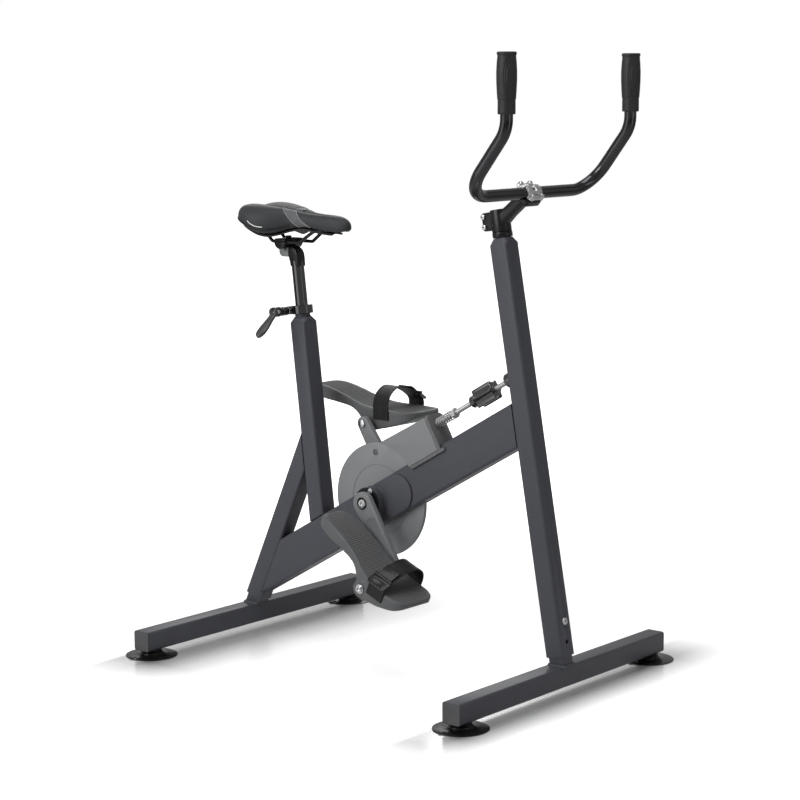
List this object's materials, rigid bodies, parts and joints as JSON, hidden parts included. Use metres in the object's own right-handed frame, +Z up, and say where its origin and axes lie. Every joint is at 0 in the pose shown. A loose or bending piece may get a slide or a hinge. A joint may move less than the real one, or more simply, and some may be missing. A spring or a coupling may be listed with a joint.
{
  "type": "pool exercise bike",
  "caption": "Free-standing exercise bike for use in a pool, with a leaning mast, straight handgrips, adjustable saddle, disc brake, cranks and long footbeds with toe straps.",
  "frame": {"origin": "on the floor, under the centre of the overall box: midway between the two base tubes", "axes": "+X towards the handlebar, +Y towards the rider's left, +Z up"},
  "size_m": [0.896, 0.704, 1.19],
  "materials": {
    "frame_paint": "satin",
    "foot_rubber": "smooth, slightly glossy",
    "plug_plastic": "smooth",
    "bolt_steel": "polished",
    "post_steel": "polished",
    "disc_steel": "matt grey",
    "crank_steel": "satin grey",
    "bearing_alloy": "satin",
    "black_metal": "gloss black",
    "clamp_alloy": "satin",
    "brake_cover": "smooth satin",
    "brake_pad": "matt",
    "knob_plastic": "gloss",
    "footbed_plastic": "fine grain",
    "strap_plastic": "satin",
    "grip_foam": "matt",
    "saddle_cover": "matt grain",
    "saddle_shell": "matt"
  },
  "bodies": {
    "frame": {"front_base_tube": "frame_paint", "rear_base_tube": "frame_paint", "front_right_end_plug": "plug_plastic", "front_left_end_plug": "plug_plastic", "rear_right_end_plug": "plug_plastic", "rear_left_end_plug": "plug_plastic", "front_right_foot": "foot_rubber", "front_left_foot": "foot_rubber", "rear_right_foot": "foot_rubber", "rear_left_foot": "foot_rubber", "front_sleeve_stub": "frame_paint", "rear_sleeve_stub": "frame_paint", "front_sleeve_bolt": "bolt_steel", "rear_sleeve_bolt": "bolt_steel", "mast": "frame_paint", "seat_tube": "frame_paint", "rear_leg": "frame_paint", "main_beam": "frame_paint", "axle_housing_right": "frame_paint", "axle_housing_left": "frame_paint", "axle_bearing_right": "bearing_alloy", "axle_bearing_left": "bearing_alloy", "mast_collar": "black_metal", "rod_bush": "knob_plastic", "seat_collar": "black_metal", "quick_release_skewer": "bolt_steel"},
    "steering": {"stem": "black_metal", "bar_clamp_cap": "clamp_alloy"},
    "handlebar": {"handlebar": "black_metal", "grip_right": "grip_foam", "grip_left": "grip_foam"},
    "seatpost": {"seat_post": "post_steel"},
    "saddle_clamp": {"saddle_cradle": "clamp_alloy", "saddle_clamp_plate": "black_metal"},
    "saddle": {"saddle_rails": "black_metal", "saddle_shell": "saddle_shell", "saddle_cushion": "saddle_cover"},
    "quick_release": {"quick_release_lever": "knob_plastic"},
    "crankset": {"crank_axle": "bolt_steel", "brake_disc": "disc_steel", "crank_right": "crank_steel", "crank_left": "crank_steel", "crank_bolt_right": "bolt_steel", "crank_bolt_left": "bolt_steel", "pedal_spindle_right": "bolt_steel", "pedal_spindle_left": "bolt_steel"},
    "pedal_right": {"pedal_right": "footbed_plastic", "toe_strap_right": "strap_plastic", "buckle_right": "strap_plastic"},
    "pedal_left": {"pedal_left": "footbed_plastic", "toe_strap_left": "strap_plastic", "buckle_left": "strap_plastic"},
    "buckle_lever_right": {"buckle_lever_right": "strap_plastic"},
    "buckle_lever_left": {"buckle_lever_left": "strap_plastic"},
    "brake": {"brake_shoe": "brake_cover", "brake_pad": "brake_pad", "brake_carrier": "black_metal", "brake_spring": "bolt_steel"},
    "brake_knob": {"brake_rod": "bolt_steel", "brake_knob": "knob_plastic"}
  },
  "joints": [
    {"name": "crank_spin", "type": "hinge", "parent": "frame", "child": "crankset", "pos_m": [-0.042, 0, 0.316], "axis": [0, 1, 0], "continuous": true},
    {"name": "pedal_right_spin", "type": "hinge", "parent": "crankset", "child": "pedal_right", "pos_m": [0.04883, 0, 0.17825], "axis": [0, 1, 0], "continuous": true},
    {"name": "pedal_left_spin", "type": "hinge", "parent": "crankset", "child": "pedal_left", "pos_m": [-0.13283, 0, 0.45375], "axis": [0, 1, 0], "continuous": true},
    {"name": "buckle_right_open", "type": "hinge", "parent": "pedal_right", "child": "buckle_lever_right", "pos_m": [0.10726, -0.17085, 0.20841], "axis": [0.9205, 0, -0.3907], "range_deg": [0, 100]},
    {"name": "buckle_left_open", "type": "hinge", "parent": "pedal_left", "child": "buckle_lever_left", "pos_m": [-0.10083, 0.17098, 0.50821], "axis": [-1, 0, 0], "range_deg": [0, 100]},
    {"name": "brake_slide", "type": "slide", "parent": "frame", "child": "brake", "axis": [0.8686, 0, 0.4955], "range_m": [-0.0009, 0.003]},
    {"name": "knob_spin", "type": "hinge", "parent": "brake", "child": "brake_knob", "pos_m": [0.21687, 0, 0.54839], "axis": [0.8686, 0, 0.4955], "range_deg": [-720, 216]},
    {"name": "stem_swivel", "type": "hinge", "parent": "frame", "child": "steering", "pos_m": [0.25388, 0, 0.88112], "axis": [-0.1743, 0, 0.9847], "range_deg": [-30, 30]},
    {"name": "bar_tilt", "type": "hinge", "parent": "steering", "child": "handlebar", "pos_m": [0.3195, 0, 0.93498], "axis": [0, 1, 0], "range_deg": [-30, 30]},
    {"name": "seat_height", "type": "slide", "parent": "frame", "child": "seatpost", "axis": [-0.1181, 0, 0.993], "range_m": [-0.075, 0.09]},
    {"name": "saddle_tilt", "type": "hinge", "parent": "seatpost", "child": "saddle_clamp", "pos_m": [-0.286, 0, 0.82], "axis": [0, 1, 0], "range_deg": [-10, 10]},
    {"name": "saddle_slide", "type": "slide", "parent": "saddle_clamp", "child": "saddle", "axis": [1, 0, 0], "range_m": [-0.02, 0.006]},
    {"name": "quick_release_swing", "type": "hinge", "parent": "frame", "child": "quick_release", "pos_m": [-0.27864, -0.05, 0.67945], "axis": [0.993, 0, 0.1181], "range_deg": [-80, 50]}
  ],
  "couplings": [
    {"joint": "knob_spin", "follows": "brake_slide", "rad_per_m": -4188.8}
  ]
}
